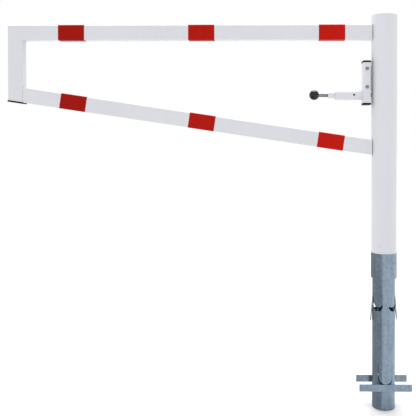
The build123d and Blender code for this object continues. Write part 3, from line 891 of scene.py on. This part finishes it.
def thread_profile(reach):
    """The thread from its end at y = reach back towards the head, then the plain shank."""
    turns = int(THREAD_LONG / THREAD_PITCH)
    profile = []
    for turn in range(turns):
        y = reach - turn * THREAD_PITCH
        profile += [
            (SHANK_R - THREAD_DEPTH, y),
            (SHANK_R, y - THREAD_PITCH * 0.4),
            (SHANK_R, y - THREAD_PITCH * 0.6),
        ]
    return profile + [(SHANK_R, reach - turns * THREAD_PITCH - THREAD_DEPTH), (SHANK_R, 0.0)]


def head_profile(head_r, head_high):
    """A button head from y = 0: a short upright rim, then a dome."""
    profile = [(head_r - 0.2 * MM, 0.0), (head_r, -0.3 * MM), (head_r, -HEAD_RIM_HIGH)]
    steps = 8
    for step in range(1, steps + 1):
        turn = math.pi / 2 * step / steps
        profile.append((head_r - HEAD_DOME_WIDE + HEAD_DOME_WIDE * math.cos(turn),
                        -HEAD_RIM_HIGH - (head_high - HEAD_RIM_HIGH) * math.sin(turn)))
    return profile


def screw_mesh(head_r, head_high, reach):
    """A button-head screw along Y: its head from y = 0 towards -Y, its thread towards +Y."""
    profile = thread_profile(reach) + head_profile(head_r, head_high)
    rings = [[round_y(radius, angle, y) for angle in FASTENER_ANGLES] for radius, y in profile]
    for flats, depth in SOCKET_ROWS:
        y = depth - head_high
        rings.append([round_y(hexagon_r(flats, angle), angle, y) for angle in FASTENER_ANGLES])
    corners, faces = join_rings(rings)
    return close_mesh("button_screw", corners, faces, 35)


def nut_mesh(thick):
    """A hexagon nut along Y from y = 0, with its corners turned down at both faces."""
    rings = [[round_y(NUT_BORE_R, angle, y) for angle in FASTENER_ANGLES] for y in (thick, 0.0)]
    round_r = NUT_FLATS / 2 * NUT_ROUND_SHARE
    drop = NUT_CORNER_DROP
    rows = ((0.0, round_r), (drop, math.inf), (thick - drop, math.inf), (thick, round_r))
    for y, limit_r in rows:
        rings.append([round_y(min(hexagon_r(NUT_FLATS, angle), limit_r), angle, y)
                      for angle in FASTENER_ANGLES])
    corners, faces = join_rings(rings, closed=True)
    return close_mesh("hexagon_nut", corners, faces, 25)


def add_fasteners():
    """The two screws of the latch box with their nuts."""
    pattern = fastener_pattern()
    head_r = (SCREWS[1].x - SCREWS[0].x) / 2
    middle_x = (SCREWS[1].x + SCREWS[0].x) / 2
    heights = (SCREWS[0].z + head_r, SCREWS[1].z - head_r)
    front_y = LATCH_BOX[0].y
    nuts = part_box("box_nuts")
    screw = screw_mesh(head_r, front_y - SCREWS[0].y, SCREWS[1].y - front_y)
    jobs = (
        ("button_screws", screw, front_y, "box_screws"),
        ("hexagon_nuts", nut_mesh(nuts[1].y - nuts[0].y), nuts[0].y, "box_nuts"),
    )
    for name, mesh, y, node_name in jobs:
        part = add_object(name + "_part", mesh)
        seed = path_mesh(name + "_points", [([Vector((middle_x, y, z))], False) for z in heights])
        piece = pattern.grow(name, seed, {"Fastener": part, "Finish": FINISHES["screw_steel"]})
        bpy.data.objects.remove(part)
        fit_piece(piece, "gate", "screw_steel", "bright_steel", node_name)


def add_spring():
    """The latch spring's coil, with ends that aren't ground flat."""
    low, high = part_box("latch_spring")
    values = {
        "Wire radius": SPRING_WIRE_R,
        "Coil radius": (high.z - low.z) / 2 - SPRING_WIRE_R,
        "Coil length": high.x - low.x - 2 * SPRING_WIRE_R,
        "Turns": SPRING_TURNS,
        "Finish": FINISHES["spring_steel"],
    }
    seed = path_mesh("spring_seed", [([Vector((0, 0, 0))], False)])
    piece = coil_pattern().grow("spring_coil", seed, values)
    turn = Matrix.Translation((low.x + SPRING_WIRE_R, 0, LATCH_Z)) @ Matrix.Rotation(math.pi / 2, 4, "Y")
    piece.data.transform(turn)
    fit_piece(piece, "gate", "spring_steel", "spring_steel", "latch_spring")


add_welds()
add_bands()
add_box_caps()
add_end_cap()
add_post_cap()
add_knob()
add_fasteners()
add_spring()


# ---------------------------------------------------------------- floor, light and camera

FLOOR_Z = cad_bounds[0].z - 0.002
FLOOR_HALF = 30.0
CARD_LIFT = 0.001
CARD_REACH = 5.0
CARD_TURNS = (24, 60, 95, 130, 165)     # degrees round the post from the front, towards the arm
CARD_GLOW = (0.50, 0.50, 0.50)
BLACK = (0.0, 0.0, 0.0)
WORLD_COLOUR = (1.0, 0.998, 1.0, 1)
SKY_COLOUR = (0.95, 0.98, 1.0)
LEFT_COLOUR = (0.88, 0.93, 1.0)

CAMERA_PLACE = (-0.4416, -2.4468, 0.5738)
CAMERA_PITCH = 0.745            # degrees down from level
CAMERA_TURN = 0.674             # degrees to the left of square on
FOCAL_WIDTHS = 1.470385         # focal length in widths of the frame
SENSOR_WIDTH = 36.0
LENS_SHIFT = (-0.14, -0.16)


def add_floor():
    """A plain pale floor under the foot of the standing tube."""
    half = FLOOR_HALF
    mesh = bpy.data.meshes.new("studio_floor")
    corners = [(x, y, FLOOR_Z) for x, y in ((-half, -half), (half, -half), (half, half), (-half, half))]
    mesh.from_pydata(corners, [], [(0, 1, 2, 3)])
    floor = add_object("studio_floor", mesh)
    r = Recipe("studio_floor")
    colour = r.blend(r.noise(1.5, 2.0), (0.54, 0.53, 0.535), (0.56, 0.55, 0.555))
    mesh.materials.append(r.finish(Base_Color=colour, Roughness=0.9, Specular_IOR_Level=0.1))


def add_sun(name, turn, strength, colour, spread, shine=True):
    light = bpy.data.lights.new(name, "SUN")
    light.energy = strength
    light.color = colour
    light.angle = math.radians(spread)
    lamp = add_object(name, light)
    lamp.rotation_euler = [math.radians(angle) for angle in turn]
    lamp.visible_glossy = shine


def add_card():
    """A grey card on the floor, seen only in reflections, which gives the zinc its darker left side."""
    level = FLOOR_Z + CARD_LIFT
    turns = [math.radians(angle) for angle in CARD_TURNS]
    corners = [(0, 0, level)]
    corners += [(-CARD_REACH * math.sin(a), -CARD_REACH * math.cos(a), level) for a in turns]
    mesh = bpy.data.meshes.new("grey_card")
    mesh.from_pydata(corners, [], [tuple(range(len(corners)))])
    card = add_object("grey_card", mesh)
    card.visible_camera = False
    card.visible_diffuse = False
    card.visible_shadow = False
    r = Recipe("grey_card")
    mesh.materials.append(r.finish(Base_Color=BLACK, Specular_IOR_Level=0.0,
                                   Emission_Color=CARD_GLOW, Emission_Strength=1.0))


def add_studio():
    world = bpy.data.worlds.new("studio")
    world.use_nodes = True
    background = world.node_tree.nodes["Background"].inputs
    background["Color"].default_value = WORLD_COLOUR
    background["Strength"].default_value = 1.0
    bpy.context.scene.world = world
    bpy.context.scene.view_settings.view_transform = "Standard"
    add_sun("sky_panel", (-14, 0, 0), 5.0, SKY_COLOUR, 50)
    add_sun("left_panel", (0, -88, 0), 0.45, LEFT_COLOUR, 60, shine=False)
    add_card()


def add_camera():
    """A nearly level lens, right of the arm's middle, at about half the gate's height."""
    data = bpy.data.cameras.new("camera")
    data.sensor_width = SENSOR_WIDTH
    data.lens = SENSOR_WIDTH * FOCAL_WIDTHS
    data.shift_x, data.shift_y = LENS_SHIFT
    camera = add_object("camera", data)
    camera.location = CAMERA_PLACE
    camera.rotation_euler = (math.pi / 2 - math.radians(CAMERA_PITCH), 0, math.radians(CAMERA_TURN))
    bpy.context.scene.camera = camera


add_floor()
add_studio()
add_camera()
